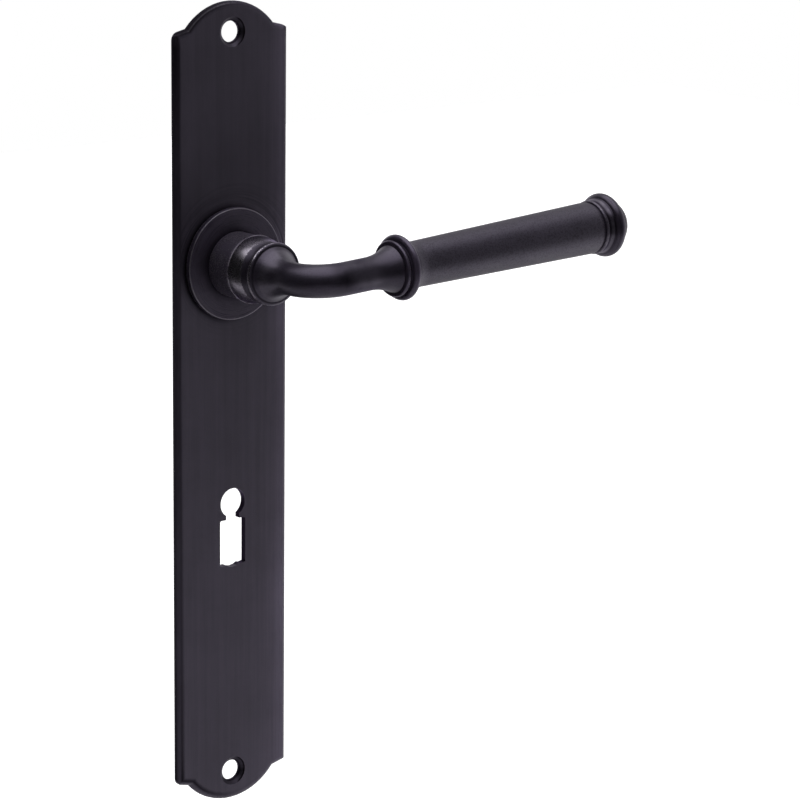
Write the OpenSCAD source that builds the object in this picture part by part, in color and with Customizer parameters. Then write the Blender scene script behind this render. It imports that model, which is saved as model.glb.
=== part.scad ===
// Door lever handle on a long backplate, with keyhole.
// Units are millimetres. The origin is where the spindle's axis meets the door face.
// +Z is up, the room side is towards -Y and the lever points towards +X.

/* [Backplate] */
// Width of the backplate
plate_w = 40; // [36:0.5:46]
// Height of the backplate over both arches
plate_h = 240.6; // [225:0.5:270]
// Thickness of the backplate
plate_t = 2; // [1.8:0.1:3]
// Radius of the rounded front edge
edge_r = 1.7; // [0.6:0.1:1.7]
// Half the width of each arch where it leaves the shoulders
arch_foot = 15.3; // [13:0.1:16.5]
// Fall of each shoulder towards the side, in degrees
shoulder_fall = 13.5; // [0:0.5:18]
// Radius of the shoulders' outer corners
corner_r = 2.4; // [0.5:0.1:3.5]
// Height of the spindle above the middle of the backplate
spindle_up = 44.2; // [38:0.1:52]

/* [Fixing holes and keyhole] */
// Distance from each end of the backplate to its fixing hole
fixing_inset = 8.8; // [7.5:0.1:12]
// Diameter of each fixing hole
fixing_d = 6.2; // [4.5:0.1:6.4]
// Diameter of the countersink at the front
countersink_d = 8.8; // [7.6:0.1:10]
// Depth of the countersink
countersink_h = 1.2; // [0.6:0.1:1.6]
// Distance from the spindle down to the keyhole's round part
key_drop = 72; // [70:1:92]
// Diameter of the keyhole's round part
key_d = 8.8; // [7.6:0.1:10]
// Width of the keyhole's waist
key_waist = 4.8; // [4.2:0.1:6]
// Width of the keyhole's slot
key_slot_w = 9.2; // [7.5:0.1:10]
// Distance from the round part's centre to the slot's shoulders
key_slot_top = 5; // [4.6:0.1:6.5]
// Distance from the round part's centre to the slot's lower corners
key_slot_low = 18.2; // [15:0.1:20]
// How far the point under the slot hangs down
key_point = 1.5; // [0.6:0.1:2.2]

/* [Rose and sleeve] */
// Diameter of the rose disc
rose_d = 33; // [32:0.5:36]
// Thickness of the rose disc
rose_t = 1.5; // [1.3:0.1:2.2]
// Diameter of the round recess in the back of the plate; all that stands behind stays inside it
recess_d = 27.2; // [27.2:0.1:28]
// Depth of that recess
recess_h = 0.8; // [0.6:0.1:0.9]
// Outer diameter of the guide sleeve
sleeve_d = 19.2; // [19.2:0.1:20]
// Length of the guide sleeve in front of the rose disc
sleeve_l = 8.8; // [8.6:0.1:11]
// Bore of the guide sleeve
sleeve_bore = 17.2; // [17.1:0.1:17.4]
// Diameter of the sleeve's tail, which passes through the plate
tail_d = 18.4; // [18.3:0.1:18.6]
// How far the sleeve's tail stands out behind the door face
tail_l = 1.7; // [1.5:0.1:2.4]
// Outer diameter of the ring nut behind the plate
nut_d = 21.5; // [20.8:0.1:21.6]
// Wall of the front bush
bush_wall = 0.5; // [0.4:0.05:0.6]
// Length of the front bush
front_bush_l = 2.6; // [2:0.1:2.8]
// Length of the rear bush
rear_bush_l = 3.3; // [2.8:0.1:3.5]
// Thickness of the glide washer between sleeve and lever
glide_t = 0.5; // [0.4:0.1:1]
// Diameter of the dowels that locate the rose disc
dowel_d = 1.5; // [1.2:0.1:1.6]

/* [Return stop and spring] */
// Turn of the lever from its upper stop to its lower stop, in degrees
turn = 45; // [30:1:60]
// Rise of the lever above level at its upper stop, in degrees
lift = 3; // [0:0.5:5]
// Diameter of the two stop pins
stop_pin_d = 2.5; // [2:0.1:2.5]
// Distance of the stop pins from the spindle's axis
stop_pin_at = 12.2; // [12.1:0.1:12.3]
// Length of the stop pins behind the door face
stop_pin_l = 4.4; // [4.2:0.1:5.2]
// Half the width of the cam washer's tab, in degrees
tab_half = 12; // [8:1:15]
// Thickness of the cam washer
cam_t = 1.6; // [1.2:0.1:2]
// Diameter of the cam washer's round part
cam_d = 19.2; // [18:0.1:20]
// Wire diameter of the return spring
wire_d = 1; // [0.8:0.05:1]
// Middle diameter of the return spring's coil
coil_d = 14.8; // [14.75:0.05:14.85]
// Turns of the return spring
coil_turns = 4; // [3:1:4]

/* [Lever] */
// Distance from the door face to the middle of the grip
reach = 41.3; // [38:0.1:52]
// Length of the lever from the spindle's axis to the tip of its end button
lever_l = 116.4; // [105:0.1:135]
// Diameter of the lever's rim where it meets the sleeve
base_d = 20.1; // [20:0.1:22]
// Length of the base from its rim to the ring
base_l = 8.1; // [7.8:0.1:9]
// Length of the base's dome, behind its waist
dome_l = 5.4; // [4.8:0.1:5.8]
// Diameter of the base at the front of its dome
dome_end_d = 17.8; // [17.4:0.1:18.2]
// Diameter of the waist between dome and ring
waist_d = 16.3; // [15.8:0.1:16.8]
// Diameter of the ring in front of the base
ring_d = 18.4; // [17.8:0.1:19.4]
// Width of the ring in front of the base
ring_w = 1.8; // [1.4:0.1:2.4]
// Diameter where the trumpet begins, in front of the ring
trumpet_d = 16.6; // [15.5:0.1:17.2]
// Diameter of the neck
neck_d = 9.65; // [9:0.05:10.5]
// Radius of the neck's bend, along its middle
bend_r = 10.7; // [8:0.1:11.5]
// Distance from the spindle's axis to where the neck begins to flare
flare_at = 19; // [17:0.1:20]
// Distance from the spindle's axis to the collar
collar_at = 27.4; // [26.5:0.1:29]
// Diameter at the end of the neck's flare
flare_d = 13.8; // [12.5:0.1:14.6]
// Width of the collar
collar_w = 4.8; // [4.5:0.1:6]
// Diameter of the collar's large bead
collar_d = 19.2; // [18:0.1:20.5]
// Diameter of the collar's small bead
collar_small_d = 16.5; // [15.6:0.1:17.2]

/* [Grip] */
// Diameter of the grip at its narrowest, near the collar
grip_d = 13.5; // [12.5:0.1:15]
// Diameter of the grip at its far end
grip_end_d = 15.7; // [15:0.1:16.2]
// Diameter of the grip where it meets the collar
grip_mouth_d = 15.4; // [15.2:0.1:16]
// Length of the grip's flared mouth
grip_mouth_l = 4.2; // [3:0.1:6]
// Length of the end collar
end_l = 7.9; // [7.4:0.1:9]
// Diameter of the end collar's large bead
end_d = 19.3; // [18:0.1:20.5]
// Diameter of the end collar's small bead
end_small_d = 16.3; // [15.8:0.1:17.2]
// Diameter of the end button
button_d = 14.8; // [14:0.1:16.5]
// Length of the end button
button_l = 5.4; // [5:0.1:7]

/* [Spindle and screws] */
// Side of the square spindle
spindle_s = 8; // [7:1:8]
// How far the spindle stands out behind the door face
spindle_out = 20; // [16:1:40]
// Depth of the spindle in the lever, from the door face
spindle_in = 23.8; // [20:0.1:24.5]
// Diameter of the lever's shank
shank_d = 13.4; // [13.3:0.05:13.45]
// Length of the shank behind the door face
shank_l = 6.2; // [6:0.1:8]
// Diameter of the grub screw under the base
grub_d = 5; // [4:1:5]
// Distance from the door face to the grub screw
grub_at = 16.6; // [16:0.1:17]
// Size of the grub screw's hexagon socket
grub_hex = 2.5; // [2:0.5:2.5]
// Diameter of the tie stud inside the grip
stud_d = 5; // [4:0.5:5]
// Diameter of the neck's spigot inside the collar and the grip
spigot_d = 8.4; // [8:0.1:8.8]
// Length of the neck's spigot
spigot_l = 12.6; // [9:0.1:16]

/* [Clearances] */
// Radial running clearance of the shank and journal in their bushes
running = 0.05; // [0.03:0.01:0.08]
// Radial gap of parts that are fitted and stay put
fitted = 0.02; // [0.01:0.01:0.04]
// Radial gap of loose washers and of the square spindle on each side
loose = 0.1; // [0.06:0.01:0.14]
// End gap of parts that turn past each other
end_gap = 0.05; // [0.03:0.01:0.08]

/* [Hidden] */
$fn = 96;

// Radii of the settable diameters
arch_r = plate_w / 2;
fixing_z = plate_h / 2 - fixing_inset;
rose_r = rose_d / 2;
sleeve_r = sleeve_d / 2;
sleeve_bore_r = sleeve_bore / 2;
tail_r = tail_d / 2;
recess_r = recess_d / 2;
dowel_r = dowel_d / 2;
dowel_at = (recess_r + rose_r) / 2;
stop_pin_r = stop_pin_d / 2;
journal_r = sleeve_bore_r - bush_wall - running;
shank_r = shank_d / 2;
neck_r = neck_d / 2;
stud_r = stud_d / 2;
spigot_r = spigot_d / 2;
// Heights on the backplate
arch_z = plate_h / 2 - arch_r;
foot_z = arch_z + sqrt(arch_r * arch_r - arch_foot * arch_foot);
// Depths in front of the door face
rose_front = plate_t + rose_t;
blind = rose_t * 0.6;
blind_end = plate_t + blind;
sleeve_front = rose_front + sleeve_l;
base_back = sleeve_front + glide_t;
rim_round = 0.35;
rim_lip = 0.15;
dome_rise = 0.25;
ring_back = base_back + base_l;
ring_front = ring_back + ring_w;
trumpet_end = reach - bend_r;
journal_back = sleeve_front - front_bush_l;
// Places along the arm, from the spindle's axis
grip_at = collar_at + collar_w;
button_at = lever_l - button_l;
end_at = button_at - end_l;
// Widths and half widths of the turned beads and grooves
neck_groove_w = 0.25;
neck_groove_h = 0.35;
neck_small_half = 0.6;
neck_between = 0.6;
neck_between_h = 0.55;
neck_large_half = 1.1;
seat_step = 0.1;
end_groove_w = 0.7;
end_groove_h = 0.35;
end_small_half = 0.65;
end_large_half = 1.9;
cove_step = 0.25;
cove_fall = 1.15;
cove_share = 0.9;
lap = 0.2;
washer_t = 1;
// Places behind the door face
rear_seat = tail_l - rear_bush_l;
spring_seat = 0.6;
nut_step = 0.1;
nut_t = recess_h + tail_l - nut_step;
cam_at = tail_l + end_gap + spring_seat + end_gap;
clip_w = 1;
clip_depth = 0.3;
clip_at = cam_at + cam_t + end_gap;
clip_r = shank_r - clip_depth;
clip_outer_r = shank_r + 2;
flat_depth = 0.8;
flat_x = shank_r - flat_depth;
tab_reach = stop_pin_at + stop_pin_r;
pin_half = asin(stop_pin_r / stop_pin_at);
stop_gap = 0.3;
pin_angle = turn / 2 + tab_half + pin_half + stop_gap;
// The square socket and its spindle
socket = spindle_s + loose;
screw_play = 0.02;
// The return spring, with one axial leg at each end
wire_r = wire_d / 2;
coil_r = coil_d / 2;
back_play = 0.5;
front_play = 0.2;
coil_back = -rear_seat + wire_r + back_play;
coil_front = journal_back - wire_r - front_play;
leg_in = 1.4;
leg_play = 0.2;
steps_per_turn = 16;
wire_sides = 6;
cut = 1;

// Axis along -Y, measured as a depth in front of the door face
module outward() { rotate([90, 0, 0]) children(); }

// Axis along +X at the grip's distance from the door
module armward() { translate([0, -reach, 0]) rotate([0, 90, 0]) children(); }

// The lever's rest pose, raised to its upper stop
module raised() { rotate([0, -lift, 0]) children(); }

// A tube from depth a to depth b
module tube_2d(inner, outer, a, b) { translate([inner, a]) square([outer - inner, b - a]); }

// A solid bead in a turned profile: its crest radius, its place and its half width
module bead_2d(crest, at, half) {
    translate([crest - half, at]) circle(half);
    translate([0, at - half]) square([crest - half, 2 * half]);
}

// Material under a hollow curve that runs level at radius low from place b and rises to
// radius high at place a
module hollow_2d(low, high, a, b) {
    run = abs(b - a);
    rise = high - low;
    r = (run * run + rise * rise) / (2 * rise);
    start = min(a, b);
    difference() {
        translate([0, start]) square([high, run]);
        translate([low + r, b]) circle(r, $fn = 180);
    }
}

// Cross-section of the backplate: square at the door face, rounded in front
module rounded_bar_2d(w) {
    square_h = plate_t - edge_r;
    translate([-w / 2, 0]) square([w, square_h]);
    translate([-w / 2 + edge_r, 0]) square([w - 2 * edge_r, plate_t]);
    for (s = [-1, 1]) translate([s * (w / 2 - edge_r), square_h]) circle(edge_r);
}

// A long slab whose end face follows one shoulder and has the rounded front edge
module shoulder_slab(side) {
    translate([side * arch_foot, 0, foot_z])
        rotate([0, side * shoulder_fall, 0])
            translate([0, 0, -plate_h / 2])
                rotate([180, -90, 0])
                    linear_extrude(plate_h, center = true) rounded_bar_2d(plate_h);
}

// Half of the plate's outline on one side, with its rounded outer corners
module half_outline(side) {
    corner_z = foot_z - (arch_r - arch_foot) * tan(shoulder_fall);
    round_x = arch_r - corner_r;
    round_z = corner_z - corner_r * tan((90 - shoulder_fall) / 2);
    touch = [round_x + corner_r * sin(shoulder_fall), round_z + corner_r * cos(shoulder_fall)];
    scale_x = side > 0 ? 0 : 1;
    mirror([scale_x, 0]) difference() {
        translate([0, -plate_h / 2]) square([arch_r, plate_h]);
        for (end = [0, 1]) mirror([0, end]) difference() {
            polygon([[round_x, round_z], [arch_r + cut, round_z], [arch_r + cut, plate_h],
                [touch[0], plate_h], touch]);
            translate([round_x, round_z]) circle(corner_r);
        }
    }
}

module plate_half(side) {
    intersection() {
        linear_extrude(plate_h, center = true) mirror([0, 1]) rounded_bar_2d(plate_w);
        rotate([90, 0, 0]) linear_extrude(plate_t + cut) half_outline(side);
        shoulder_slab(side);
        mirror([0, 0, 1]) shoulder_slab(side);
    }
}

// The upper arch, cut off inside the plate
module arch() {
    inside = (foot_z - arch_z) / 2;
    intersection() {
        translate([0, 0, arch_z]) outward() rotate_extrude() intersection() {
            rounded_bar_2d(2 * arch_r);
            square([arch_r, plate_t]);
        }
        translate([-arch_r, -plate_t - cut, arch_z + inside]) cube([2 * arch_r, plate_t + 2 * cut, arch_r]);
    }
}

// The keyhole's outline, seen from the front, with its round part at the origin
module keyhole_2d() {
    half = key_slot_w / 2;
    nib = (key_slot_w - key_waist) / 4;
    circle(key_d / 2);
    translate([-key_waist / 2, -key_slot_top - nib]) square([key_waist, key_slot_top + nib]);
    difference() {
        translate([-half, -key_slot_low]) square([key_slot_w, key_slot_low - key_slot_top]);
        for (s = [-1, 1]) translate([s * half, -key_slot_top]) square(nib, center = true);
    }
    for (s = [-1, 1]) translate([s * (half - nib / 2), -key_slot_top - nib / 2]) circle(nib / 2);
    // The point is an ogee: a hollow on each side of it
    shoulder = key_point * 0.4;
    hollow_r = key_point * 0.8;
    hollow_at = [half * 0.56, -key_point * 1.28];
    translate([0, -key_slot_low]) difference() {
        polygon([[-half, 0], [-half, -shoulder], [0, -key_point], [half, -shoulder], [half, 0]]);
        for (s = [-1, 1]) translate([s * hollow_at[0], hollow_at[1]]) circle(hollow_r, $fn = 48);
    }
}

module fixing_hole() {
    outward() {
        translate([0, 0, -cut]) cylinder(h = plate_t + 2 * cut, d = fixing_d);
        translate([0, 0, plate_t - countersink_h])
            cylinder(h = countersink_h, d1 = fixing_d, d2 = countersink_d);
        translate([0, 0, plate_t]) cylinder(h = cut, d = countersink_d);
    }
}

// Places of the rose disc's dowels, left and right of the spindle
module dowel_places() {
    for (s = [-1, 1]) translate([s * dowel_at, 0, 0]) children();
}

// Places of the stop pins, on both sides of the top
module pin_places() {
    for (s = [-1, 1]) rotate([0, s * pin_angle, 0]) translate([0, 0, stop_pin_at]) children();
}

module backplate() {
    color("#2d2c31") difference() {
        translate([0, 0, -spindle_up]) difference() {
            union() {
                plate_half(-1);
                plate_half(1);
                arch();
                mirror([0, 0, 1]) arch();
            }
            for (end = [-1, 1]) translate([0, 0, end * fixing_z]) fixing_hole();
        }
        translate([0, cut, -key_drop]) rotate([90, 0, 0]) linear_extrude(plate_t + 2 * cut) keyhole_2d();
        translate([0, cut, 0]) outward() {
            cylinder(h = plate_t + 2 * cut, r = tail_r + fitted);
            cylinder(h = recess_h + cut, r = recess_r);
        }
        dowel_places() translate([0, cut, 0]) outward() cylinder(h = plate_t + 2 * cut, r = dowel_r + fitted);
        pin_places() translate([0, cut, 0]) outward()
            cylinder(h = plate_t + 2 * cut, r = stop_pin_r + fitted);
    }
}

module rose_disc() {
    edge = 0.4;
    color("#2b2a2f") difference() {
        outward() rotate_extrude() {
            tube_2d(tail_r + fitted, rose_r, plate_t, rose_front - edge);
            tube_2d(tail_r + fitted, rose_r - edge, plate_t, rose_front);
            translate([rose_r - edge, rose_front - edge]) circle(edge, $fn = 32);
        }
        dowel_places() translate([0, cut - plate_t, 0]) outward()
            cylinder(h = cut + blind, r = dowel_r + fitted);
        pin_places() translate([0, cut - plate_t, 0]) outward()
            cylinder(h = cut + blind, r = stop_pin_r + fitted);
    }
}

module locating_dowels() {
    color("silver") dowel_places() outward() cylinder(h = blind_end - end_gap, r = dowel_r);
}

module guide_sleeve() {
    edge = 0.3;
    color("#2f2e33") outward() rotate_extrude() {
        tube_2d(sleeve_bore_r, sleeve_r, rose_front, sleeve_front - edge);
        tube_2d(sleeve_bore_r, tail_r, -tail_l, rose_front);
        polygon([
            [sleeve_bore_r, sleeve_front - edge], [sleeve_r, sleeve_front - edge],
            [sleeve_r - edge, sleeve_front], [sleeve_bore_r, sleeve_front]
        ]);
    }
}

module sleeve_nut() {
    slot_w = 3;
    slot_in = 0.9;
    back = nut_t - recess_h;
    color("silver") difference() {
        translate([0, back, 0]) outward() difference() {
            cylinder(h = nut_t, d = nut_d);
            translate([0, 0, -cut]) cylinder(h = nut_t + 2 * cut, r = tail_r + fitted);
        }
        for (a = [0 : 90 : 270]) rotate([0, a, 0])
            translate([-slot_w / 2, back - nut_t / 2, nut_d / 2 - slot_in]) cube([slot_w, nut_t, nut_d]);
    }
}

// A slot for one of the spring's legs, cut through a bush or journal at the top
module leg_slot(from, to, outer) {
    half = wire_r + leg_play;
    translate([-half, -to, coil_r - half]) cube([2 * half, to - from, outer - coil_r + half + cut]);
}

module front_bush() {
    color("tan") outward() rotate_extrude()
        tube_2d(sleeve_bore_r - bush_wall, sleeve_bore_r - fitted, journal_back, sleeve_front);
}

module rear_bush() {
    color("tan") difference() {
        outward() rotate_extrude()
            tube_2d(shank_r + running, sleeve_bore_r - fitted, -tail_l, -rear_seat);
        leg_slot(-rear_seat - leg_in, -rear_seat + cut, sleeve_bore_r);
    }
}

module stop_pins() {
    color("silver") pin_places() translate([0, stop_pin_l, 0]) outward()
        cylinder(h = stop_pin_l + blind_end - end_gap, r = stop_pin_r);
}

module glide_washer() {
    rim_in = 0.2;
    color("#1d1d20") outward() rotate_extrude()
        tube_2d(sleeve_bore_r - bush_wall, sleeve_r - rim_in, sleeve_front, base_back - end_gap);
}

module disc_spring() {
    stock = 0.3;
    rim_in = 0.2;
    inner = shank_r + loose;
    outer = tail_r - rim_in;
    far = -tail_l - end_gap;
    near = far - spring_seat;
    color("silver") outward() rotate_extrude()
        polygon([[inner, near], [inner, near + stock], [outer, far], [outer, far - stock]]);
}

// The return spring's middle line runs from the fixed leg, round the coil, to the moving leg
function coil_point(turns) = let (depth = coil_back + (coil_front - coil_back) * turns / coil_turns)
    [coil_r * sin(360 * turns), -depth, coil_r * cos(360 * turns)];
coil_steps = coil_turns * steps_per_turn;
spring_line = concat(
    [[0, -(leg_play - rear_seat - leg_in), coil_r], [0, -(coil_back - wire_r), coil_r]],
    [for (i = [0 : coil_steps]) coil_point(i / steps_per_turn)],
    [[0, -(coil_front + wire_r), coil_r], [0, -(journal_back + leg_in - leg_play), coil_r]]
);
spring_gap = (coil_front - coil_back) / coil_turns - wire_d;
echo(least_gap_between_spring_turns = spring_gap);

// A tube of constant size swept along a line, with rings square to it
function unit(v) = v / norm(v);
function line_dir(line, i) = unit(line[min(i + 1, len(line) - 1)] - line[max(i - 1, 0)]);
function side_dir(line, i) = unit(cross(line_dir(line, i), radial(line[i])));
function radial(p) = [p[0], 0, p[2]];
function ring_point(line, i, r, k, sides) = let (
    d = line_dir(line, i),
    u = side_dir(line, i),
    v = cross(d, u),
    a = 360 * k / sides
) line[i] + r * (cos(a) * u + sin(a) * v);

module swept_tube(line, r, sides) {
    n = len(line);
    points = [for (i = [0 : n - 1]) for (k = [0 : sides - 1]) ring_point(line, i, r, k, sides)];
    walls = [for (i = [0 : n - 2]) for (k = [0 : sides - 1]) let (
        a = i * sides + k,
        b = i * sides + (k + 1) % sides
    ) each [[a, b, b + sides], [a, b + sides, a + sides]]];
    first = [for (k = [1 : sides - 2]) [0, k + 1, k]];
    last = [for (k = [1 : sides - 2]) [(n - 1) * sides, (n - 1) * sides + k, (n - 1) * sides + k + 1]];
    polyhedron(points, concat(walls, first, last));
}

module return_spring() {
    color("#8a8f94") swept_tube(spring_line, wire_r, wire_sides);
}

// The lever's stem, from the end of its shank to the start of the bend
module stem_2d() {
    rim_r = base_d / 2;
    // The dome's arc runs between these two points and stands dome_rise above their chord
    from = [rim_r - rim_lip, base_back + rim_round];
    to = [dome_end_d / 2, base_back + dome_l];
    chord = norm(to - from);
    dome_r = chord * chord / (8 * dome_rise) + dome_rise / 2;
    out = [to[1] - from[1], from[0] - to[0]] / chord;
    tube_2d(0, shank_r, -shank_l, base_back);
    tube_2d(0, journal_r, journal_back, base_back);
    polygon([[0, base_back], [rim_r - rim_round, base_back], [rim_r, base_back + rim_round], from, to,
        [0, to[1]]]);
    intersection() {
        translate([0, from[1]]) square([rim_r, to[1] - from[1]]);
        translate((from + to) / 2 - (dome_r - dome_rise) * out) circle(dome_r, $fn = 180);
    }
    hollow_2d(waist_d / 2, to[0], to[1], ring_back);
    tube_2d(0, waist_d / 2, to[1], ring_front);
    bead_2d(ring_d / 2, ring_back + ring_w / 2, ring_w / 2);
    hollow_2d(neck_r, trumpet_d / 2, ring_front - lap, trumpet_end);
}

// The straight part of the neck, its flare and the spigot that carries the grip
module arm_2d() {
    flare_end = collar_at - neck_groove_w;
    tube_2d(0, neck_r, bend_r, flare_at);
    hollow_2d(neck_r, flare_d / 2, flare_end, flare_at);
    tube_2d(0, flare_d / 2 - neck_groove_h, flare_end, collar_at);
    tube_2d(0, spigot_r, collar_at, collar_at + spigot_l);
}

module lever_neck() {
    color("#2c2b30") raised() difference() {
        union() {
            outward() rotate_extrude() stem_2d();
            translate([bend_r, -trumpet_end, 0]) rotate(180)
                rotate_extrude(angle = 90) translate([bend_r, 0]) circle(neck_r);
            armward() rotate_extrude() arm_2d();
        }
        translate([-socket / 2, -spindle_in - end_gap, -socket / 2])
            cube([socket, spindle_in + shank_l + cut, socket]);
        // Flats for the cam washer
        for (s = [-1, 1]) translate([s * (flat_x + shank_r) - shank_r, cam_at - end_gap, -shank_r])
            cube([2 * shank_r, shank_l, 2 * shank_r]);
        // Groove for the retaining ring
        translate([0, clip_at + clip_w + end_gap, 0]) outward() difference() {
            cylinder(h = clip_w + 2 * end_gap, r = shank_r + cut);
            translate([0, 0, -cut]) cylinder(h = clip_w + 2 * end_gap + 2 * cut, r = clip_r);
        }
        rotate([0, lift, 0]) leg_slot(journal_back - cut, journal_back + leg_in, journal_r);
        translate([0, -grub_at, -base_d]) cylinder(h = base_d, d = grub_d + 2 * screw_play);
        armward() translate([0, 0, flare_at - lap])
            cylinder(h = lever_l, r = stud_r + screw_play);
    }
}

module neck_collar() {
    small_at = collar_at + neck_small_half;
    large_at = small_at + neck_small_half + neck_between + neck_large_half;
    land_r = grip_mouth_d / 2 + seat_step;
    color("#2b2a2f") raised() armward() rotate_extrude() difference() {
        union() {
            bead_2d(collar_small_d / 2, small_at, neck_small_half);
            tube_2d(0, collar_small_d / 2 - neck_between_h, small_at, large_at);
            bead_2d(collar_d / 2, large_at, neck_large_half);
            hollow_2d(land_r, collar_d / 2 - neck_large_half, large_at, grip_at);
            tube_2d(0, land_r, large_at, grip_at);
        }
        tube_2d(0, spigot_r + fitted, collar_at - cut, grip_at + cut);
    }
}

module grip_barrel() {
    mouth_end = grip_at + grip_mouth_l;
    color("#3a393f") raised() armward() rotate_extrude() difference() {
        union() {
            hollow_2d(grip_d / 2, grip_mouth_d / 2, grip_at, mouth_end);
            polygon([[0, mouth_end], [grip_d / 2, mouth_end], [grip_end_d / 2, end_at - lap],
                [grip_end_d / 2 - lap, end_at], [0, end_at]]);
        }
        tube_2d(0, spigot_r + fitted, grip_at - cut, collar_at + spigot_l + end_gap);
        tube_2d(0, stud_r + loose, grip_at, lever_l);
    }
}

module end_collar() {
    large_at = button_at - end_large_half;
    small_at = end_at + end_groove_w + end_small_half;
    cove_from = small_at + end_small_half;
    cove_to = large_at - end_large_half * cove_share;
    cove_r = end_small_d / 2 - cove_step;
    color("#2e2d32") raised() armward() rotate_extrude() difference() {
        union() {
            tube_2d(0, grip_end_d / 2 - end_groove_h, end_at, small_at);
            bead_2d(end_small_d / 2, small_at, end_small_half);
            hollow_2d(cove_r, end_d / 2 - cove_fall, cove_to, cove_from - lap);
            tube_2d(0, cove_r, small_at, large_at);
            bead_2d(end_d / 2, large_at, end_large_half);
        }
        tube_2d(0, stud_r + loose, end_at - cut, button_at + cut);
        tube_2d(0, spigot_r + fitted, button_at - washer_t, button_at + cut);
    }
}

module lock_washer() {
    split = 0.8;
    color("silver") raised() armward() difference() {
        translate([0, 0, button_at - washer_t + end_gap]) difference() {
            cylinder(h = washer_t - end_gap, r = spigot_r - loose);
            translate([0, 0, -cut]) cylinder(h = washer_t + 2 * cut, r = stud_r + loose);
        }
        translate([0, -split / 2, button_at - washer_t - cut]) cube([spigot_d, split, washer_t + 2 * cut]);
    }
}

module end_button() {
    edge_l = 1.2;
    dome_h = button_l - edge_l;
    half = button_d / 2;
    dome_r = (half * half + dome_h * dome_h) / (2 * dome_h);
    color("#2c2b30") raised() armward() rotate_extrude() difference() {
        union() {
            tube_2d(0, half, button_at, button_at + edge_l);
            intersection() {
                translate([0, lever_l - dome_r]) circle(dome_r, $fn = 180);
                translate([0, button_at + edge_l]) square([half, dome_h]);
            }
        }
        tube_2d(0, stud_r + screw_play, button_at - cut, button_at + button_l / 2);
        translate([-half * 2, button_at - cut]) square([half * 2, button_l + 2 * cut]);
    }
}

module tie_stud() {
    color("silver") raised() armward() translate([0, 0, flare_at])
        cylinder(h = button_at + button_l / 2 - end_gap - flare_at, r = stud_r);
}

// The washer that turns with the shank; its tab swings between the stop pins
module cam_washer() {
    color("silver") rotate([0, -turn / 2, 0]) translate([0, cam_at + cam_t, 0]) outward()
        linear_extrude(cam_t) difference() {
            union() {
                circle(d = cam_d);
                intersection() {
                    circle(tab_reach);
                    polygon([[0, 0], [-tab_reach * 2 * tan(tab_half), tab_reach * 2],
                        [tab_reach * 2 * tan(tab_half), tab_reach * 2]]);
                }
            }
            // Two flats, square to the raised lever
            rotate(lift - turn / 2) intersection() {
                circle(shank_r + loose / 2);
                square([2 * flat_x + loose, 4 * shank_r], center = true);
            }
        }
}

module retaining_ring() {
    mouth = 50;
    color("silver") raised() translate([0, clip_at + clip_w, 0]) outward() difference() {
        cylinder(h = clip_w, r = clip_outer_r);
        translate([0, 0, -cut]) cylinder(h = clip_w + 2 * cut, r = clip_r + fitted);
        translate([0, 0, -cut]) linear_extrude(clip_w + 2 * cut)
            polygon([[0, 0], [clip_outer_r * 2 * tan(mouth / 2), -clip_outer_r * 2],
                [-clip_outer_r * 2 * tan(mouth / 2), -clip_outer_r * 2]]);
    }
}

module spindle() {
    color("silver") raised() translate([-spindle_s / 2, -spindle_in, -spindle_s / 2])
        cube([spindle_s, spindle_in + spindle_out, spindle_s]);
}

module grub_screw() {
    sunk = 1.7;
    below = base_d / 2 - sunk;
    top = spindle_s / 2 + screw_play;
    hex_depth = 2.2;
    color("silver") raised() translate([0, -grub_at, -below]) difference() {
        cylinder(h = below - top, d = grub_d);
        translate([0, 0, -cut]) cylinder(h = hex_depth + cut, d = grub_hex / cos(30), $fn = 6);
    }
}

backplate();
rose_disc();
locating_dowels();
guide_sleeve();
sleeve_nut();
front_bush();
rear_bush();
stop_pins();
glide_washer();
disc_spring();
return_spring();
lever_neck();
neck_collar();
grip_barrel();
end_collar();
end_button();
tie_stud();
lock_washer();
cam_washer();
retaining_ring();
spindle();
grub_screw();
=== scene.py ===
import math

import bpy
from mathutils import Matrix, Vector


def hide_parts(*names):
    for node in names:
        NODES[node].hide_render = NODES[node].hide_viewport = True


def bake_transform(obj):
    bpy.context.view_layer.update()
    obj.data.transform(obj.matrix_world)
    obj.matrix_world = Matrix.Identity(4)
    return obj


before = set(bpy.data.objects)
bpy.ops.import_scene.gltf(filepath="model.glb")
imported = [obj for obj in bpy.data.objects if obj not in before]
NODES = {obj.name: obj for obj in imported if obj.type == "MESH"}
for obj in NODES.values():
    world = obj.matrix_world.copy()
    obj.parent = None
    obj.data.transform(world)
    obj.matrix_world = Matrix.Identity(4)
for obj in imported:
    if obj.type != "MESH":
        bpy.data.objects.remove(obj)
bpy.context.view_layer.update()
scene = bpy.context.scene
scene.view_settings.view_transform = "Standard"

# Blender works in metres. Places on the part are given in millimetres, as in part.scad:
# x to the right, z up, depth in front of the door (-y), and hub, the distance from the
# spindle's axis. "Stops" are (place, amount) pairs with straight lines between them.
MM = 0.001


# ---------------------------------------------------------------- camera
def towards(azimuth, elevation):
    """A direction in degrees: azimuth from the front (-Y) towards +X, elevation upwards."""
    az, el = math.radians(azimuth), math.radians(elevation)
    return Vector((math.sin(az) * math.cos(el), -math.cos(az) * math.cos(el), math.sin(el)))


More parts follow.
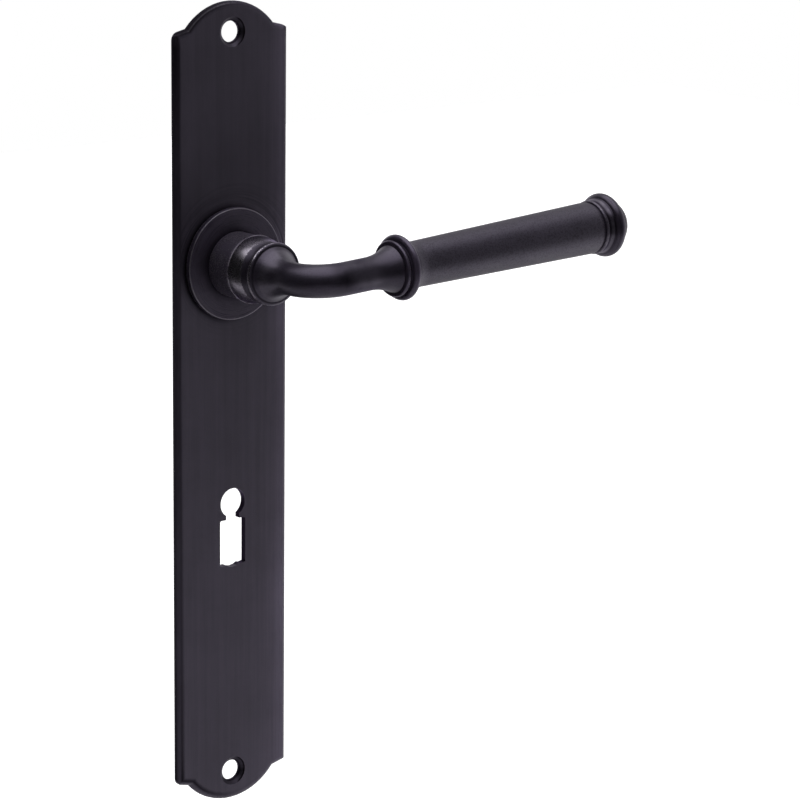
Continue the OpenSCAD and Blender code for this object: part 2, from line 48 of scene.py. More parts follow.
def make_camera():
    """The photograph's camera, solved from the plate's outline, its holes and the rings."""
    azimuth, elevation, roll = -39.034, 13.38, math.radians(0.675)
    target, distance = Vector((64.784, 0.0, -50.292)) * MM, 998.07 * MM
    focal_px, picture_px, sensor_mm = 3254.19, 800.0, 36.0

    back = towards(azimuth, elevation)
    level = towards(azimuth + 90.0, 0.0)
    upright = back.cross(level)
    right = level * math.cos(roll) + upright * math.sin(roll)
    up = upright * math.cos(roll) - level * math.sin(roll)

    data = bpy.data.cameras.new("camera")
    data.sensor_fit = "AUTO"
    data.sensor_width = sensor_mm
    data.lens = focal_px * sensor_mm / picture_px
    data.clip_start, data.clip_end = 0.05, 50.0
    cam = bpy.data.objects.new("camera", data)
    scene.collection.objects.link(cam)
    turn = Matrix((right, up, back)).transposed().to_4x4()
    cam.matrix_world = Matrix.Translation(target + back * distance) @ turn
    bpy.context.scene.camera = cam


# ---------------------------------------------------------------- node trees
def times(colour, factor):
    return tuple(c * factor for c in colour)


class Nodes:
    """Short names for building a node tree. Values are sockets or plain numbers."""

    def __init__(self, tree):
        self.tree = tree

    def node(self, kind):
        return self.tree.nodes.new("ShaderNode" + kind)

    def link(self, source, socket):
        self.tree.links.new(source, socket)

    def feed(self, socket, value):
        """Sets the socket to a plain value, or links it to another socket."""
        if isinstance(value, (int, float, tuple)):
            socket.default_value = value
        else:
            self.link(value, socket)

    # numbers
    def calc(self, op, a, b=0.0, clamp=False):
        n = self.node("Math")
        n.operation = op
        n.use_clamp = clamp
        self.feed(n.inputs[0], a)
        self.feed(n.inputs[1], b)
        return n.outputs[0]

    def fold(self, op, values):
        result = values[0]
        for value in values[1:]:
            result = self.calc(op, result, value)
        return result

    def product(self, *values):
        return self.fold("MULTIPLY", values)

    def total(self, *values):
        return self.fold("ADD", values)

    def most(self, *values):
        return self.fold("MAXIMUM", values)

    def least(self, *values):
        return self.fold("MINIMUM", values)

    def less(self, a, b):
        return self.calc("SUBTRACT", a, b)

    def absolute(self, value):
        return self.calc("ABSOLUTE", value)

    def length(self, a, b):
        return self.calc("SQRT", self.total(self.product(a, a), self.product(b, b)))

    def weighed(self, *pairs):
        """The sum of (value, weight) pairs."""
        return self.total(*(self.product(value, weight) for value, weight in pairs))

    def between(self, a, b, share):
        """From a to b as the share goes from 0 to 1."""
        return self.total(self.product(a, self.less(1.0, share)), self.product(b, share))

    def span(self, value, lo, hi, out_lo=0.0, out_hi=1.0, smooth=False):
        """Turns the range lo..hi into out_lo..out_hi, level beyond its ends."""
        n = self.node("MapRange")
        if smooth:
            n.interpolation_type = "SMOOTHSTEP"
        ends = {"From Min": lo, "From Max": hi, "To Min": out_lo, "To Max": out_hi}
        for socket, end in ends.items():
            n.inputs[socket].default_value = end
        self.link(value, n.inputs["Value"])
        return n.outputs["Result"]

    def stops(self, value, points):
        """The amount at a place, from a list of stops."""
        lo, hi = points[0][0], points[-1][0]
        n = self.node("ValToRGB")
        ring_marks_and_shade = n.color_ramp.elements
        while len(ring_marks_and_shade) < len(points):
            ring_marks_and_shade.new(0.5)
        # all positions before any colour, because a position can change the marks' order
        for i, (at, _) in enumerate(points):
            ring_marks_and_shade[i].position = (at - lo) / (hi - lo)
        for i, (_, amount) in enumerate(points):
            ring_marks_and_shade[i].color = (amount, amount, amount, 1.0)
        self.link(self.span(value, lo, hi), n.inputs["Fac"])
        return n.outputs["Color"]

    def rubbed(self, amount, grain):
        """Nearly all or nothing: the share of the surface worn through grows with amount."""
        gain, start, soft = 1.25, 0.10, 0.08
        over = self.less(self.product(amount, gain), self.total(grain, start))
        return self.span(over, -soft, soft)

    # vectors
    def axes(self, vector):
        n = self.node("SeparateXYZ")
        self.link(vector, n.inputs[0])
        return n.outputs

    def together(self, x, y, z):
        n = self.node("CombineXYZ")
        for socket, v in zip(n.inputs, (x, y, z)):
            self.feed(socket, v)
        return n.outputs[0]

    def noise(self, vector, scale=1.0, detail=3.0, rough=0.6):
        n = self.node("TexNoise")
        n.inputs["Scale"].default_value = scale
        n.inputs["Detail"].default_value = detail
        n.inputs["Roughness"].default_value = rough
        self.link(vector, n.inputs["Vector"])
        return n.outputs["Fac"]

    def rings(self, hub, x, z, across, drift):
        """Turned rings: noise that changes fast with hub and slowly with x and z."""
        slow = self.product(x, drift), self.product(z, drift)
        return self.noise(self.together(self.product(hub, across), *slow))

    # colours
    def blend(self, share, a, b):
        n = self.node("Mix")
        n.data_type = "RGBA"
        self.feed(n.inputs["Factor"], share)
        for name, colour in (("A", a), ("B", b)):
            socket = next(s for s in n.inputs if s.name == name and s.type == "RGBA")
            self.feed(socket, (*colour, 1.0) if isinstance(colour, tuple) else colour)
        return next(s for s in n.outputs if s.type == "RGBA")

    def varied(self, tone, lo, hi, colour, dark, light):
        """The colour, times dark where the tone is lo and times light where it is hi."""
        return self.blend(self.span(tone, lo, hi), times(colour, dark), times(colour, light))

    def brightened(self, colour, factor):
        n = self.node("VectorMath")
        n.operation = "SCALE"
        self.link(colour, n.inputs[0])
        self.link(factor, n.inputs["Scale"])
        return n.outputs[0]

    # rays
    def seen(self):
        """One where the camera looks straight or through glass, nought for reflections."""
        path = self.node("LightPath")
        return self.most(path.outputs["Is Camera Ray"], path.outputs["Is Transmission Ray"])


class Surface(Nodes):
    """A new material, textured by the place on the part."""

    def __init__(self, name):
        self.mat = bpy.data.materials.new(name)
        self.mat.use_nodes = True
        super().__init__(self.mat.node_tree)
        self.bsdf = next(n for n in self.tree.nodes if n.type == "BSDF_PRINCIPLED")
        self.coords = self.node("TexCoord").outputs["Object"]

    def set(self, name, value):
        self.feed(self.bsdf.inputs[name], value)

    def scaled(self, *scales):
        """Coordinates for a texture drawn out along one axis."""
        n = self.node("Mapping")
        n.inputs["Scale"].default_value = scales
        self.link(self.coords, n.inputs["Vector"])
        return n.outputs["Vector"]

    def place_mm(self):
        return [self.product(c, 1 / MM) for c in self.axes(self.coords)]

    def bump(self, height, distance):
        """Sets the shader's normal from a height, with its distance in millimetres."""
        n = self.node("Bump")
        n.inputs["Distance"].default_value = distance * MM
        self.link(height, n.inputs["Height"])
        self.set("Normal", n.outputs["Normal"])


# ---------------------------------------------------------------- places on the part
ARM_DEPTH = 41.3        # from the door face to the middle line of the lever's arm
ARM_RISE = math.radians(3.0)
PLATE_R = 20.0          # half the backplate's width, and its arches' radius
PLATE_MID = -44.2       # height of the plate's middle
ARCH_UP = 100.3         # from the plate's middle to each arch's centre
SHOULDER_UP = 16.55     # from an arch's centre to where the shoulders' slopes would meet
SHOULDER_FALL = 0.24    # how much the shoulders fall per millimetre sideways
HOLE_UP = 111.5         # from the plate's middle to each fixing hole
HOLE_R, SINK_R = 3.1, 4.4


def depth_mm(k):
    """Distance in front of the door face."""
    return k.product(k.axes(k.coords)[1], -1 / MM)


def arm_mm(k):
    """Place along the raised lever, and distance from its middle line."""
    turned = k.node("Mapping")
    turned.inputs["Rotation"].default_value = (0.0, ARM_RISE, 0.0)
    k.link(k.coords, turned.inputs["Vector"])
    x, y, z = k.axes(turned.outputs["Vector"])
    off = k.length(k.total(y, ARM_DEPTH * MM), z)
    return k.product(x, 1 / MM), k.product(off, 1 / MM)


def along_arm(k):
    return arm_mm(k)[0]


def off_arm(k):
    return arm_mm(k)[1]


def plate_edge(k, x, z):
    """Distance in from the backplate's outline: the greater of its body's and its arches'."""
    beyond = k.less(k.absolute(k.less(z, PLATE_MID)), ARCH_UP)
    side = k.absolute(x)
    shoulder = k.less(k.less(SHOULDER_UP, k.product(side, SHOULDER_FALL)), beyond)
    body = k.least(k.less(PLATE_R, side), shoulder)
    arch = k.less(PLATE_R, k.length(x, k.most(beyond, 0.0)))
    return k.most(body, arch)


# ---------------------------------------------------------------- black coats
COAT = (1.49, 1.23, 1.89)           # the violet black of the coat; shade() sets its level
PLATE_COAT = (0.0218, 0.0186, 0.0268)
# the colour of sooty pits and of painted shade
SOOT_AND_SHADE = (0.0092, 0.0077, 0.0108)     # dark metallic, so that it takes the reflection away
# light grey of pale scuffs, also used for painted highlight lines
SCUFF_AND_HIGHLIGHT = (0.46, 0.43, 0.49)
METAL = (1.0, 0.92, 1.08)           # bare metal, times its level
BARE = 0.185                        # the usual level of bare metal
SPECULAR_TINT, SPECULAR_LEVEL = (0.84, 0.74, 1.0, 1.0), 0.77


def shade(level):
    return times(COAT, level)


def coated(k, coat, soot_and_shade, scuff_and_highlight=0.0, wear=0.0, metal=None):
    """Black coat with dark, pale and worn shares: the dark share is sooty pits and painted shade,
    the pale share is scuffs and painted highlight lines; its dark and worn places are metallic.
    """
    base = coat if metal is None else k.blend(wear, coat, metal)
    base = k.blend(scuff_and_highlight, base, SCUFF_AND_HIGHLIGHT)
    k.set("Base Color", k.blend(soot_and_shade, base, SOOT_AND_SHADE))
    k.set("Metallic", k.most(k.product(wear, k.less(1.0, scuff_and_highlight)), soot_and_shade))
    k.set("Specular Tint", SPECULAR_TINT)
    k.set("Specular IOR Level", SPECULAR_LEVEL)


def worn_black(name, coat, rough, where, wear=None, soot_and_shade=None, scuff_and_highlight=None, grime_and_shade=None,
               polish=None, bright=BARE, speckle=0.25, lathe=0.0, grain=0.014):
    """Black coated casting.

    where gives the place for the stops of wear, of the dark share, of the pale share and of
    polish;
    the patchy dark share goes along the arm. The dark shares are painted shade in creases,
    grooves and joints and on the bend; the pale share is scuffs and a painted highlight line.
    bright is the bare metal's level, speckle and lathe are the strengths of sooty pits
    and of turned rings, and grain is the bump's height in millimetres.
    """
    k = Surface(name)
    place = where(k)
    fine = k.noise(k.coords, 3400.0)
    blotch = k.noise(k.coords, 900.0, rough=0.55)
    broad = k.noise(k.coords, 160.0, rough=0.5)

    rub = 0.0
    if wear:
        mixed = k.weighed((fine, 0.75), (blotch, 0.25))
        rub = k.rubbed(k.stops(place, wear), k.span(mixed, 0.38, 0.62))

    pits = k.span(k.noise(k.coords, 2300.0, 2.0, 0.5), 0.46, 0.66, 0.0, speckle)
    dark = k.product(pits, k.less(1.0, rub))
    # painted shade in creases, grooves and joints, from the dark stops
    if soot_and_shade:
        dark = k.most(dark, k.stops(place, soot_and_shade))
    # painted shade in patches along the arm, which dims the bend's highlight
    if grime_and_shade:
        patches = k.span(broad, 0.35, 0.65, 0.5, 1.2)
        dark = k.most(dark, k.product(k.stops(along_arm(k), grime_and_shade), patches))
    if lathe:
        along, off = arm_mm(k)
        turned = k.noise(k.together(k.product(along, 2.6), k.product(off, 1.5), 0.0), detail=2.0)
        dark = k.most(dark, k.span(turned, 0.48, 0.62, 0.0, lathe))

    scuffs_and_highlight = 0.0
    # pale scuffs, and a painted highlight line where the stops are high
    if scuff_and_highlight:
        patches = k.span(broad, 0.38, 0.62, 0.1, 1.9)
        scuffs_and_highlight = k.calc("MULTIPLY", k.stops(place, scuff_and_highlight), patches, clamp=True)

    film = k.varied(k.weighed((fine, 0.5), (broad, 0.5)), 0.35, 0.65, coat, 0.75, 1.3)
    cloud = k.noise(k.coords, 1500.0, 2.0, 0.5)
    metal = k.varied(cloud, 0.35, 0.65, times(METAL, bright), 0.85, 1.15)
    coated(k, film, dark, scuffs_and_highlight, rub, metal)

    dull = k.total(k.span(fine, 0.3, 0.7, rough - 0.04, rough + 0.06),
                   k.span(broad, 0.3, 0.7, -0.03, 0.03))
    if polish:
        dull = k.less(dull, k.stops(place, polish))
    k.set("Roughness", k.less(dull, k.product(rub, 0.11)))
    k.bump(k.total(k.product(fine, 0.5), blotch), grain)
    return k.mat


def turned_black(name, coat, rough, wear, speckle, soot_and_shade=None, foot=False):
    """Black coated disc or sleeve with fine turned rings; the stops go by hub.

    speckle is the strength of sooty rings, the dark stops by hub are painted shade, and foot
    wears the edge that meets the plate.
    """
    k = Surface(name)
    x, _, z = k.place_mm()
    hub = k.length(x, z)
    rings = k.rings(hub, x, z, 3.2, 0.06)
    fine = k.noise(k.coords, 2800.0)
    broad = k.noise(k.coords, 110.0, 4.0)
    tone = k.weighed((rings, 0.35), (fine, 0.25), (broad, 0.4))
    film = k.varied(tone, 0.38, 0.62, coat, 0.4, 1.8)

    amount = k.stops(hub, wear)
    if foot:
        low = k.product(k.stops(depth_mm(k), [(2.0, 0.7), (2.2, 0.6), (2.4, 0.0)]),
                        k.stops(hub, [(16.3, 0.0), (16.5, 1.0)]))
        amount = k.most(amount, low)
    rub = k.rubbed(amount, k.span(k.weighed((fine, 0.6), (broad, 0.4)), 0.38, 0.62))
    dirt_and_shade = k.span(k.weighed((rings, 0.6), (broad, 0.4)), 0.47, 0.62, 0.0, speckle)
    # painted shade from the dark stops by hub, round the sleeve's foot on the rose
    if soot_and_shade:
        dirt_and_shade = k.most(k.stops(hub, soot_and_shade), dirt_and_shade)
    dirt_and_shade = k.product(dirt_and_shade, k.less(1.0, rub))
    coated(k, film, dirt_and_shade, wear=rub, metal=times(METAL, BARE))

    k.set("Roughness", k.span(tone, 0.36, 0.64, rough - 0.07, rough + 0.09))
    k.bump(k.total(k.product(rings, 1.6), fine), 0.022)
    return k.mat


def painted_hole_shade(k, x, z, hub, deep, edge):
    """Painted shade in the keyhole and the countersunk fixing holes, darker on their right."""
    walls = k.product(
        k.stops(deep, [(0.03, 0.0), (0.08, 1.0), (1.7, 1.0), (1.96, 0.4), (2.0, 0.0)]),
        k.stops(k.absolute(x), [(5.5, 1.0), (7.0, 0.0)]),
        k.stops(x, [(-5.0, 0.4), (-1.0, 0.1), (1.0, 0.3), (2.4, 1.0), (5.0, 1.0)]),
        k.stops(hub, [(20.0, 0.0), (22.0, 1.0)]),
        k.stops(edge, [(1.8, 0.0), (2.4, 1.0)]))

    # painted shade on the fixing holes' lip and outer rim, the rim's on its right side only, and
    # on the lower one's foot;
    # ends is where they are, at the plate's ends
    hole = k.length(x, k.less(k.absolute(k.less(z, PLATE_MID)), HOLE_UP))
    lip = k.stops(hole, [(HOLE_R, 0.95), (HOLE_R + 0.28, 0.95), (HOLE_R + 0.46, 0.0)])
    rim = k.product(
        k.stops(hole, [(SINK_R - 0.45, 0.0), (SINK_R - 0.25, 1.0),
                       (SINK_R + 0.02, 1.0), (SINK_R + 0.06, 0.0)]),
        k.stops(x, [(0.8, 0.0), (2.2, 1.0)]))
    foot = k.product(k.stops(hole, [(SINK_R - 0.1, 1.0), (SINK_R, 0.0)]),
                     k.stops(z, [(-158.0, 0.6), (-155.0, 0.0)]))
    ends = k.stops(z, [(-145.0, 1.0), (-130.0, 0.0), (40.0, 0.0), (55.0, 1.0)])
    inside = k.stops(deep, [(0.03, 0.0), (0.08, 1.0)])
    sunk = k.product(k.most(lip, rim, foot), ends, inside)
    return k.most(k.product(walls, k.span(ends, 0.0, 1.0, 1.0, 0.6)), sunk)


def painted_rim_shade(k, x, z, edge, crown):
    """Painted shade on the plate's rounded edge, strongest at the left."""
    low = k.stops(z, [(-100.0, 1.0), (-20.0, 0.0)])
    upper = k.stops(edge, [(0.0, 0.9), (1.5, 0.9), (1.9, 0.2), (2.4, 0.0)])
    lower = k.stops(edge, [(0.0, 0.9), (0.12, 0.8), (0.3, 0.0), (0.8, 0.0),
                           (1.1, 0.5), (1.5, 1.0), (1.9, 0.8), (2.6, 0.0)])
    top = k.stops(edge, [(0.0, 0.95), (0.9, 0.9), (1.4, 0.15), (1.8, 0.0)])
    return k.product(
        k.between(k.between(upper, lower, low), top, crown),
        k.stops(x, [(-19.0, 1.0), (-12.0, 0.9), (-3.0, 0.5), (2.0, 0.1), (15.0, 0.0)]),
        k.stops(z, [(-166.0, 1.0), (-154.0, 0.95), (-146.0, 0.65), (-110.0, 0.45),
                    (-30.0, 0.35), (30.0, 0.38), (60.0, 0.7), (76.0, 0.9)]))


def brushed_black(name, coat, rough):
    """The backplate: fine vertical brushing and faint turning marks round the rose, with painted
    light and shade: shade round the rose, in the holes and on the rounded edge, a brighter right
    edge and lower plate, and a painted highlight line on the upper arch.
    """
    k = Surface(name)
    x, _, z = k.place_mm()
    hub, deep, edge = k.length(x, z), depth_mm(k), plate_edge(k, x, z)
    front = k.stops(deep, [(0.03, 0.0), (0.2, 1.0), (2.0, 1.0)])
    crown = k.stops(z, [(64.0, 0.0), (68.0, 1.0)])
    lines = k.noise(k.scaled(3000.0, 3000.0, 45.0))
    streaks = k.noise(k.scaled(620.0, 620.0, 14.0), rough=0.55)
    broad = k.noise(k.coords, 45.0, 4.0, 0.55)
    # turning marks round the rose; being stronger above its middle, they also paint shade there
    ring_marks_and_shade = k.product(
        k.stops(hub, [(16.0, 1.0), (18.0, 0.9), (21.0, 0.4), (25.0, 0.0)]),
        k.stops(z, [(-14.0, 0.2), (4.0, 1.0)]),
        k.span(k.rings(hub, x, z, 1.7, 0.03), 0.42, 0.62))

    tone = k.weighed((lines, 0.25), (streaks, 0.35), (broad, 0.4))
    film = k.varied(tone, 0.40, 0.60, coat, 0.75, 1.3)
    # painted light and shade: the plate brighter on its right rounding and towards the bottom,
    # darker just above the rose
    across = k.stops(x, [(-17.5, 1.15), (-10.0, 1.05), (0.0, 1.0), (6.0, 1.05), (11.0, 1.25),
                         (15.0, 1.8), (17.0, 2.9), (18.0, 3.3), (18.8, 1.3), (20.0, 1.0)])
    along = k.stops(z, [(-165.0, 1.85), (-150.0, 1.55), (-100.0, 1.55), (-60.0, 1.25),
                        (-20.0, 1.25), (0.0, 1.3), (20.0, 0.75), (32.0, 0.95),
                        (50.0, 1.0), (76.0, 1.15)])
    film = k.brightened(film, k.product(across, along))
    film = k.blend(k.product(ring_marks_and_shade, 0.6), film, times(coat, 0.3))

    # painted shadow of the rose on the plate, strongest to its left
    foot = k.product(
        k.stops(hub, [(16.4, 1.0), (17.0, 0.85), (17.8, 0.3), (19.0, 0.0)]),
        k.stops(x, [(-16.0, 1.0), (-6.0, 0.75), (2.0, 0.3), (10.0, 0.0), (16.0, 0.0)]))
    # painted shade on the rounded edge, then with the painted shade in the holes and round the
    # rose
    rim_shade = painted_rim_shade(k, x, z, edge, crown)
    rim_shade, foot, ring_marks_and_shade = (k.product(front, share) for share in (rim_shade, foot, ring_marks_and_shade))
    soot_and_shade = k.most(painted_hole_shade(k, x, z, hub, deep, edge), rim_shade, foot, k.product(ring_marks_and_shade, 0.42))
    # painted highlight: a thin pale line along the upper arch's edge, strongest at the left
    line = k.product(
        k.stops(edge, [(0.32, 0.0), (0.45, 0.7), (0.65, 0.7), (0.78, 0.0)]),
        k.stops(x, [(-16.0, 0.3), (-15.0, 1.0), (-3.0, 0.6), (2.0, 0.0), (20.0, 0.0)]),
        front, crown, k.span(streaks, 0.35, 0.6, 0.3, 1.0))
    coated(k, film, soot_and_shade, scuff_and_highlight=line)

    dull = k.total(k.span(lines, 0.3, 0.7, rough - 0.03, rough + 0.03),
                   k.span(streaks, 0.3, 0.7, -0.025, 0.025),
                   k.product(ring_marks_and_shade, 0.12))
    haze = k.product(crown, k.stops(edge, [(0.0, 0.5), (1.1, 0.45), (1.6, 0.0)]))
    k.set("Roughness", k.calc("ADD", dull, haze, clamp=True))
    k.bump(k.total(lines, k.product(streaks, 1.6)), 0.010)
    return k.mat


# ---------------------------------------------------------------- other materials
def steel(name, colour, rough, scale):
    """Plated or oiled steel with a fine grain and cloudy plating."""
    k = Surface(name)
    grain = k.noise(k.coords, scale)
    cloud = k.noise(k.coords, 220.0, 4.0)
    tone = k.weighed((grain, 0.4), (cloud, 0.6))
    k.set("Base Color", k.varied(tone, 0.35, 0.65, colour, 0.72, 1.18))
    k.set("Metallic", 1.0)
    k.set("Roughness", k.span(tone, 0.35, 0.65, rough - 0.07, rough + 0.07))
    k.bump(grain, 0.008)
    return k.mat


def moulded(name, colour, rough):
    """Moulded nylon with a faint flow pattern."""
    k = Surface(name)
    flow = k.noise(k.scaled(260.0, 900.0, 260.0), rough=0.5)
    k.set("Base Color", k.varied(flow, 0.35, 0.65, colour, 0.9, 1.0))
    k.set("Roughness", k.span(flow, 0.3, 0.7, rough - 0.05, rough + 0.05))
    k.bump(flow, 0.010)
    return k.mat


# ---------------------------------------------------------------- the nodes' finishes
NYLON = (0.62, 0.57, 0.45)
ZINC = steel("zinc_steel", (0.37, 0.38, 0.40), rough=0.38, scale=1500.0)
SPRING = steel("spring_steel", (0.30, 0.31, 0.33), rough=0.34, scale=900.0)
FINISH = {
    "backplate": brushed_black("plate_black", PLATE_COAT, rough=0.45),
    # by hub: from the sleeve at 9.6 to the rim at 16.5
    "rose_disc": turned_black(
        "rose_black", shade(0.0225), rough=0.46, foot=True, speckle=0.6,
        wear=[(9.6, 0.0), (14.0, 0.0), (16.08, 0.1), (16.2, 0.9), (16.36, 0.9),
              (16.44, 0.1), (16.5, 0.0)],
        # painted shade round the sleeve's foot
        soot_and_shade=[(9.6, 0.8), (10.3, 0.6), (11.5, 0.3), (13.5, 0.1), (15.0, 0.0), (16.5, 0.0)]),
    # by hub: from the bore at 8.6 to the outside at 9.6
    "guide_sleeve": turned_black(
        "sleeve_black", shade(0.0190), rough=0.52, speckle=0.35,
        wear=[(8.6, 0.30), (9.4, 0.30), (9.6, 0.31)]),
    # by depth: dome from 12.8, waist from 18.2, ring from 20.9 to 22.7, then the trumpet
    "lever_neck": worn_black(
        "lever_black_neck", shade(0.0115), rough=0.39, where=depth_mm, bright=0.26,
        wear=[(12.8, 0.9), (13.4, 1.0), (17.8, 1.0), (18.35, 0.0), (21.2, 0.0),
              (21.6, 0.8), (22.15, 0.8), (22.45, 0.0), (60.0, 0.0)],
        # painted shade behind the dome's rim, in the waist and in the groove before the trumpet
        soot_and_shade=[(12.0, 0.8), (12.78, 0.8), (12.8, 0.0), (18.1, 0.0), (18.5, 0.35),
              (20.6, 0.35), (20.9, 0.0), (22.6, 0.0), (22.72, 0.6), (22.95, 0.0)],
        # a painted highlight line round the dome's rim, and pale patches on the ring and the
        # trumpet
        scuff_and_highlight=[(12.79, 0.0), (12.8, 0.85), (13.2, 0.85), (13.4, 0.0), (20.9, 0.0), (21.6, 0.08),
              (22.4, 0.0), (23.5, 0.0), (24.0, 0.045), (28.5, 0.03), (31.0, 0.0)],
        # painted shade in patches on the bend
        grime_and_shade=[(4.0, 0.1), (8.0, 0.6), (14.0, 0.6), (20.0, 0.4), (27.0, 0.05)],
        polish=[(22.8, 0.0), (23.5, 0.07), (30.0, 0.07), (34.0, 0.0), (60.0, 0.0)]),
    # along the arm: small bead from 27.4, large bead from 29.2 to 31.4
    "neck_collar": worn_black(
        "lever_black_collar", shade(0.0330), rough=0.31, where=along_arm, lathe=0.35,
        wear=[(27.4, 0.0), (27.7, 0.1), (28.0, 0.3), (28.3, 0.1), (28.6, 0.0), (32.2, 0.0)],
        # painted shade in the groove between the beads and at the joints
        soot_and_shade=[(27.4, 0.3), (27.6, 0.0), (28.2, 0.0), (28.45, 0.9), (28.8, 0.85), (29.1, 0.0),
              (31.6, 0.0), (32.0, 0.5), (32.2, 0.8)]),
    "grip_barrel": worn_black(
        "lever_black_grip", shade(0.0092), rough=0.42, where=along_arm, speckle=0.35, grain=0.020,
        # painted shade where the grip meets the collars
        soot_and_shade=[(32.2, 0.7), (32.6, 0.3), (33.4, 0.0), (102.6, 0.0), (103.1, 0.6)],
        scuff_and_highlight=[(32.2, 0.0), (33.5, 0.02), (40.0, 0.02), (46.0, 0.0), (84.0, 0.0),
              (95.0, 0.01), (103.1, 0.01)]),
    # along the arm: groove from 103.1, small bead to 105.1, cove, large bead to 111
    "end_collar": worn_black(
        "lever_black_end", shade(0.0145), rough=0.31, where=along_arm, lathe=0.5,
        wear=[(103.1, 0.0), (103.8, 0.12), (104.1, 0.28), (104.6, 0.1), (105.2, 0.0),
              (105.6, 0.1), (106.6, 0.12), (106.9, 0.0), (110.4, 0.0), (111.0, 0.3)],
        # painted shade in the groove, the cove and the crease before the large bead
        soot_and_shade=[(103.1, 0.8), (103.6, 0.2), (103.8, 0.0), (104.9, 0.0), (105.2, 0.85),
              (105.7, 0.7), (106.2, 0.1), (106.8, 0.2), (107.1, 0.8), (107.5, 0.1),
              (108.2, 0.1), (108.7, 0.0), (111.0, 0.0)],
        scuff_and_highlight=[(103.1, 0.0), (104.0, 0.0), (104.2, 0.1), (104.5, 0.0), (105.4, 0.0),
              (105.9, 0.08), (106.6, 0.08), (106.9, 0.0), (111.0, 0.0)]),
    "end_button": worn_black(
        "lever_black_button", shade(0.0090), rough=0.31, where=off_arm,
        wear=[(0.0, 0.0), (7.1, 0.0), (7.4, 0.15)]),
    "glide_washer": moulded("black_nylon", (0.018, 0.018, 0.020), rough=0.5),
    "front_bush": moulded("nylon_front", NYLON, rough=0.45),
    "rear_bush": moulded("nylon_rear", NYLON, rough=0.45),
    "disc_spring": SPRING,
    "return_spring": SPRING,
    "retaining_ring": steel("ring_steel", (0.20, 0.205, 0.22), rough=0.38, scale=1200.0),
    "grub_screw": steel("screw_steel", (0.16, 0.16, 0.17), rough=0.36, scale=1600.0),
}


def dress_nodes():
    """Gives every node its finish; the small hidden parts are zinc plated."""
    for name, node in NODES.items():
        node.data.materials.clear()
        node.data.materials.append(FINISH.get(name, ZINC))


# ---------------------------------------------------------------- the spring's wire
def add_mesh(name, points, faces, material, smooth=False):
    mesh = bpy.data.meshes.new(name)
    mesh.from_pydata([tuple(p) for p in points], [], faces)
    mesh.polygons.foreach_set("use_smooth", [smooth] * len(mesh.polygons))
    mesh.materials.append(material)
    mesh.update()
    obj = bpy.data.objects.new(name, mesh)
    scene.collection.objects.link(obj)
    return obj


def swept_wire(name, line, radius, sides, material):
    """A closed round wire along a line of points that goes round the spindle's axis."""
    last = len(line) - 1
    points, faces = [], []
    for i, p in enumerate(line):
        ahead = (line[min(i + 1, last)] - line[max(i - 1, 0)]).normalized()
        side = ahead.cross(Vector((p.x, 0.0, p.z))).normalized()
        other = ahead.cross(side)
        for j in range(sides):
            a = 2 * math.pi * j / sides
            points.append(p + (side * math.cos(a) + other * math.sin(a)) * radius)
    for i in range(last):
        for j in range(sides):
            a, b = i * sides + j, i * sides + (j + 1) % sides
            faces.append((a, a + sides, b + sides, b))
    faces.append(tuple(range(sides)))
    faces.append(tuple(reversed(range(last * sides, (last + 1) * sides))))
    return add_mesh(name, points, faces, material, smooth=True)


def rounded(a, b, c, steps=8):
    """Points that round the corner at b on the way from a to c."""
    shares = (i / steps for i in range(steps + 1))
    return [a * (1 - u) ** 2 + b * 2 * u * (1 - u) + c * u * u for u in shares]


def spring_path():
    """The torsion spring's middle line: fixed leg, four turns and moving leg."""
    radius, turns, per_turn, bend = 7.4, 4, 48, 0.9
    back, front = 2.6, 9.0                      # depths of the first and the last turn
    fixed_leg, moving_leg = (0.4, 1.0), (10.4, 10.9)

    def leg(depth):
        return Vector((0.0, -depth, radius))

    def coil(t):
        a = 2 * math.pi * t
        depth = back + (front - back) * t / turns
        return Vector((radius * math.sin(a), -depth, radius * math.cos(a)))

    near = bend / (2 * math.pi * radius)
    count = turns * per_turn
    line = [leg(depth) for depth in fixed_leg]
    line += rounded(leg(back - bend), coil(0), coil(near))
    line += [coil(near + (turns - 2 * near) * i / count) for i in range(1, count)]
    line += rounded(coil(turns - near), coil(turns), leg(front + bend))
    line += [leg(depth) for depth in moving_leg]
    return [p * MM for p in line]


# ---------------------------------------------------------------- studio
# Reflections see these glows on a nearly dark room, the camera sees white: azimuth,
# elevation, cosine where the glow starts, cosine where it is full, strength.
STUDIO = [
    (-60, 84, 0.68, 0.90, 2.15),    # softbox above
    (80, 5, 0.60, 0.90, 0.60),      # right
    (150, 30, 0.50, 0.95, 0.47),    # behind on the right
    (178, -12, 0.72, 0.96, 0.98),   # low behind
]
ROOM = 0.0156


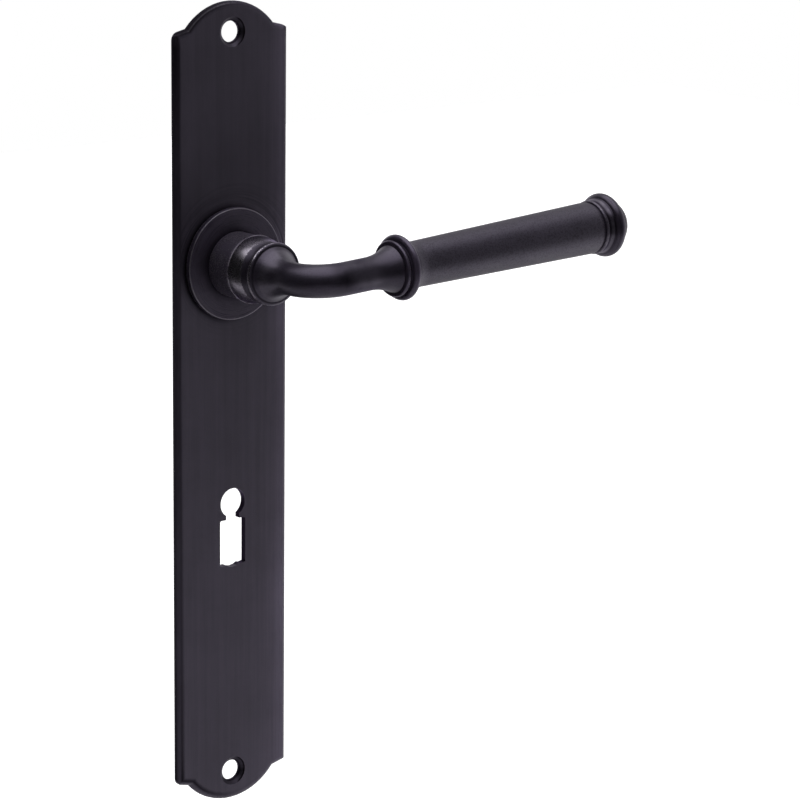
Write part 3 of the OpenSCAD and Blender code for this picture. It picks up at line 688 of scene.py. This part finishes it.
def make_world():
    world = bpy.data.worlds.new("studio")
    world.use_nodes = True
    scene.world = world
    k = Nodes(world.node_tree)
    k.tree.nodes.clear()
    out, background = k.node("OutputWorld"), k.node("Background")
    background.inputs["Color"].default_value = (1.0, 1.0, 1.0, 1.0)
    k.link(background.outputs[0], out.inputs["Surface"])
    ray = k.node("TexCoord").outputs["Generated"]

    light = ROOM
    for azimuth, elevation, start, full, strength in STUDIO:
        facing = k.node("VectorMath")
        facing.operation = "DOT_PRODUCT"
        facing.inputs[1].default_value = towards(azimuth, elevation)
        k.link(ray, facing.inputs[0])
        glow = k.span(facing.outputs["Value"], start, full, 0.0, strength, smooth=True)
        light = k.total(light, glow)
    k.link(k.most(k.seen(), light), background.inputs["Strength"])


def make_floor():
    """Pale paper below the part, which glows for the camera so that it stays white."""
    left, right, front, back, z = -0.8, 3.5, -1.1, 3.5, -0.62
    grey, rough, sheen, glow = 0.62, 0.9, 0.1, 0.75
    k = Surface("floor_paper")
    k.set("Base Color", (grey, grey, grey, 1.0))
    k.set("Roughness", rough)
    k.set("Specular IOR Level", sheen)
    emission, both = k.node("Emission"), k.node("AddShader")
    k.link(k.product(k.seen(), glow), emission.inputs["Strength"])
    k.link(k.bsdf.outputs[0], both.inputs[0])
    k.link(emission.outputs[0], both.inputs[1])
    out = next(n for n in k.tree.nodes if n.type == "OUTPUT_MATERIAL")
    k.link(both.outputs[0], out.inputs["Surface"])

    corners = [(left, front, z), (right, front, z), (right, back, z), (left, back, z)]
    floor = add_mesh("floor", corners, [(0, 1, 2, 3)], k.mat)


def add_lamp(name, place, aim, width, height, radiance):
    data = bpy.data.lights.new(name, "AREA")
    data.shape = "RECTANGLE"
    data.size, data.size_y = width, height
    data.energy = radiance * math.pi * width * height
    obj = bpy.data.objects.new(name, data)
    scene.collection.objects.link(obj)
    obj.location = place
    obj.rotation_euler = (Vector(aim) - Vector(place)).to_track_quat("-Z", "Y").to_euler()
    obj.visible_camera = False


# ---------------------------------------------------------------- the scene
make_camera()
dress_nodes()

spring = swept_wire("return_spring_wire", spring_path(), radius=0.5 * MM, sides=16,
                    material=SPRING)
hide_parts("return_spring")
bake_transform(spring)

make_floor()
make_world()
add_lamp("low_right", place=(0.66, -0.24, -0.45), aim=(0.05, -0.03, 0.0),
         width=0.65, height=0.6, radiance=0.69)
